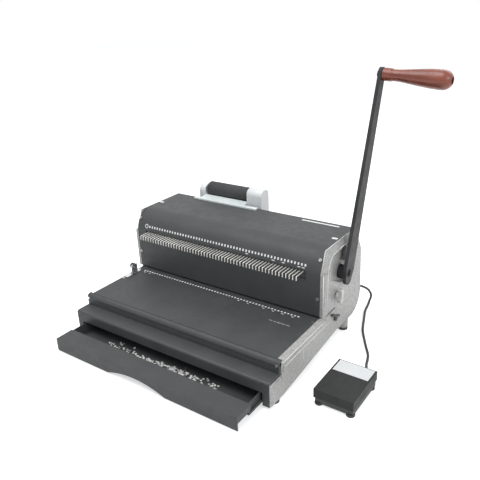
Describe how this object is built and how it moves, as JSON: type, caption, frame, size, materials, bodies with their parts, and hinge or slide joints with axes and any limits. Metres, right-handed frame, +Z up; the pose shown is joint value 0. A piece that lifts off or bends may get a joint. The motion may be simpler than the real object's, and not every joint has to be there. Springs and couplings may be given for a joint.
{
  "type": "coil punching and binding machine",
  "caption": "Desktop coil punch and binding machine with a side lever, row of pull pins, pull-out chip drawer, powered coil roller and foot pedal on a cord.",
  "frame": {"origin": "on the floor, under the middle of the bounding box taken without the pedal's cord", "axes": "+Z up, -Y is the front where sheets go in, +X is the lever side"},
  "size_m": [0.5246, 0.4272, 0.4396],
  "materials": {
    "silver_paint": "silver hammer-tone paint, low gloss",
    "black_paint": "black powder coat, matt",
    "zinc_plate": "zinc-plated sheet",
    "tool_steel": "ground steel, lightly oiled",
    "bright_chrome": "bright plated",
    "bronze": "sintered bronze",
    "black_rubber": "black rubber",
    "lever_paint": "black semi-gloss paint",
    "red_wood": "varnished red-brown wood",
    "black_plastic": "matt black plastic",
    "grey_plastic": "silver-grey plastic",
    "pale_plastic": "pale plastic"
  },
  "bodies": {
    "machine": {"left_casting": "silver_paint", "right_casting": "silver_paint", "left_frame_plate": "zinc_plate", "right_frame_plate": "zinc_plate", "top_cover": "black_paint", "rear_cover": "black_paint", "bed_plate": "black_paint", "front_ledge": "black_paint", "base_pan": "black_paint", "drawer_runners": "zinc_plate", "die_plate": "tool_steel", "punch_guide": "tool_steel", "guide_posts": "bright_chrome", "shaft_bushes": "bronze", "rubber_feet": "black_rubber", "cover_screws": "bright_chrome", "bed_screws": "bright_chrome", "name_strip": "pale_plastic", "return_springs": "bright_chrome", "roller_trough": "pale_plastic", "roller_bracket": "grey_plastic", "motor_housing": "grey_plastic", "roller_motor": "zinc_plate", "drive_belt": "black_rubber", "power_inlet": "black_plastic", "switch_frame": "black_plastic", "cord_gland": "black_rubber", "pedal_cord": "black_rubber", "pedal_gland": "black_rubber", "pedal_base": "black_plastic", "pedal_feet": "black_rubber", "pedal_switch": "black_plastic", "pedal_spring": "bright_chrome"},
    "lever": {"drive_shaft": "tool_steel", "drive_cams": "tool_steel", "punch_lever": "lever_paint", "lever_bolt": "lever_paint", "grip_bolt": "lever_paint"},
    "grip": {"wooden_grip": "red_wood"},
    "punch_bar": {"pressure_bar": "tool_steel", "punch_pins": "tool_steel", "pin_carrier": "black_paint"},
    "middle_pins": {"pull_pins": "bright_chrome"},
    "left_pins": {"left_pull_pins": "bright_chrome"},
    "right_pins": {"right_pull_pins": "bright_chrome"},
    "drawer": {"chip_drawer": "black_paint"},
    "depth_dial": {"depth_knob": "grey_plastic"},
    "depth_bar": {"depth_stop": "tool_steel"},
    "lock": {"lock_lever": "black_plastic"},
    "edge_guide": {"side_guide": "bright_chrome"},
    "edge_knob": {"guide_knob": "black_plastic"},
    "roller": {"roller_shaft": "bright_chrome", "roller_sleeve": "black_rubber", "roller_pulley": "pale_plastic"},
    "motor_rotor": {"motor_pulley": "pale_plastic", "motor_core": "tool_steel"},
    "rocker": {"power_rocker": "black_plastic"},
    "treadle": {"pedal_treadle": "black_plastic", "pedal_label": "pale_plastic"},
    "plunger": {"switch_plunger": "pale_plastic"}
  },
  "joints": [
    {"name": "lever_swing", "type": "hinge", "parent": "machine", "child": "lever", "pos_m": [-0.05931, 0.09036, 0.124], "axis": [1, 0, 0], "range_deg": [0, 100]},
    {"name": "grip_spin", "type": "hinge", "parent": "lever", "child": "grip", "pos_m": [0.15519, 0.18765, 0.42885], "axis": [0.9986, 0, -0.0523], "continuous": true},
    {"name": "punch_stroke", "type": "slide", "parent": "machine", "child": "punch_bar", "axis": [0, 0, -1], "range_m": [0, 0.0093], "stiffness_N_per_m": 3000, "springref_m": -0.02, "deforming": ["return_springs"]},
    {"name": "middle_pins_pull", "type": "slide", "parent": "punch_bar", "child": "middle_pins", "axis": [0, -1, 0], "range_m": [0, 0.008]},
    {"name": "left_pins_pull", "type": "slide", "parent": "punch_bar", "child": "left_pins", "axis": [0, -1, 0], "range_m": [0, 0.008]},
    {"name": "right_pins_pull", "type": "slide", "parent": "punch_bar", "child": "right_pins", "axis": [0, -1, 0], "range_m": [0, 0.008]},
    {"name": "drawer_slide", "type": "slide", "parent": "machine", "child": "drawer", "axis": [0, -1, 0], "range_m": [-0.027, 0.16]},
    {"name": "depth_dial_turn", "type": "hinge", "parent": "machine", "child": "depth_dial", "pos_m": [0.13219, 0.06835, 0.091], "axis": [1, 0, 0], "range_deg": [-91, 91]},
    {"name": "depth_bar_slide", "type": "slide", "parent": "machine", "child": "depth_bar", "axis": [0, 1, 0], "range_m": [-0.0015, 0.0015]},
    {"name": "lock_turn", "type": "hinge", "parent": "machine", "child": "lock", "pos_m": [0.14369, 0.06335, 0.05], "axis": [1, 0, 0], "range_deg": [-30, 40]},
    {"name": "edge_guide_slide", "type": "slide", "parent": "machine", "child": "edge_guide", "axis": [1, 0, 0], "range_m": [0, 0.006]},
    {"name": "edge_knob_turn", "type": "hinge", "parent": "edge_guide", "child": "edge_knob", "pos_m": [-0.25381, -0.00064, 0.0764], "axis": [1, 0, 0], "range_deg": [0, 180]},
    {"name": "roller_turn", "type": "hinge", "parent": "machine", "child": "roller", "pos_m": [-0.13931, 0.17236, 0.1955], "axis": [1, 0, 0], "continuous": true},
    {"name": "motor_turn", "type": "hinge", "parent": "machine", "child": "motor_rotor", "pos_m": [-0.08431, 0.17036, 0.176], "axis": [1, 0, 0], "continuous": true},
    {"name": "power_switch", "type": "hinge", "parent": "machine", "child": "rocker", "pos_m": [-0.16731, 0.17536, 0.075], "axis": [1, 0, 0], "range_deg": [0, 16]},
    {"name": "pedal_press", "type": "hinge", "parent": "machine", "child": "treadle", "pos_m": [0.21869, -0.01564, 0.016], "axis": [1, 0, 0], "range_deg": [0, 5], "stiffness_Nm_per_rad": 1.5, "springref_deg": -5.73},
    {"name": "plunger_slide", "type": "slide", "parent": "machine", "child": "plunger", "axis": [0, 0, -1], "range_m": [0, 0.004], "deforming": ["pedal_spring"]}
  ],
  "couplings": [
    {"joint": "punch_stroke", "follows": "lever_swing", "m_per_rad": 0.0052712},
    {"joint": "depth_dial_turn", "follows": "depth_bar_slide", "rad_per_m": -1047.2},
    {"joint": "motor_turn", "follows": "roller_turn", "ratio": 2},
    {"joint": "plunger_slide", "follows": "pedal_press", "m_per_rad": 0.044}
  ]
}
